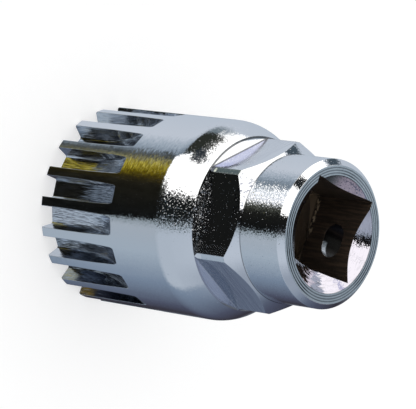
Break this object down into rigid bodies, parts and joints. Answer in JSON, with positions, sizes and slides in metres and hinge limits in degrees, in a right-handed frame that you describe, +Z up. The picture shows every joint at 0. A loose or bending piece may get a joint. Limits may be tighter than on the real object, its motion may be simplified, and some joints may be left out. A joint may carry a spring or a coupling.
{
  "type": "bottom bracket tool",
  "caption": "One-piece chromed socket tool: splined cup on one end for cartridge bottom brackets, wrench hex and square drive socket on the other.",
  "frame": {"origin": "centre of the flat splined end, on the surface the tool stands on", "axes": "+Z up along the tool's axis to the square drive socket, +X towards the socket wall with the ball recess"},
  "size_m": [0.032, 0.032, 0.049],
  "materials": {
    "chrome": "bright chrome plate on turned and milled steel"
  },
  "bodies": {
    "root": {"bottom_bracket_tool": "chrome"}
  },
  "joints": []
}
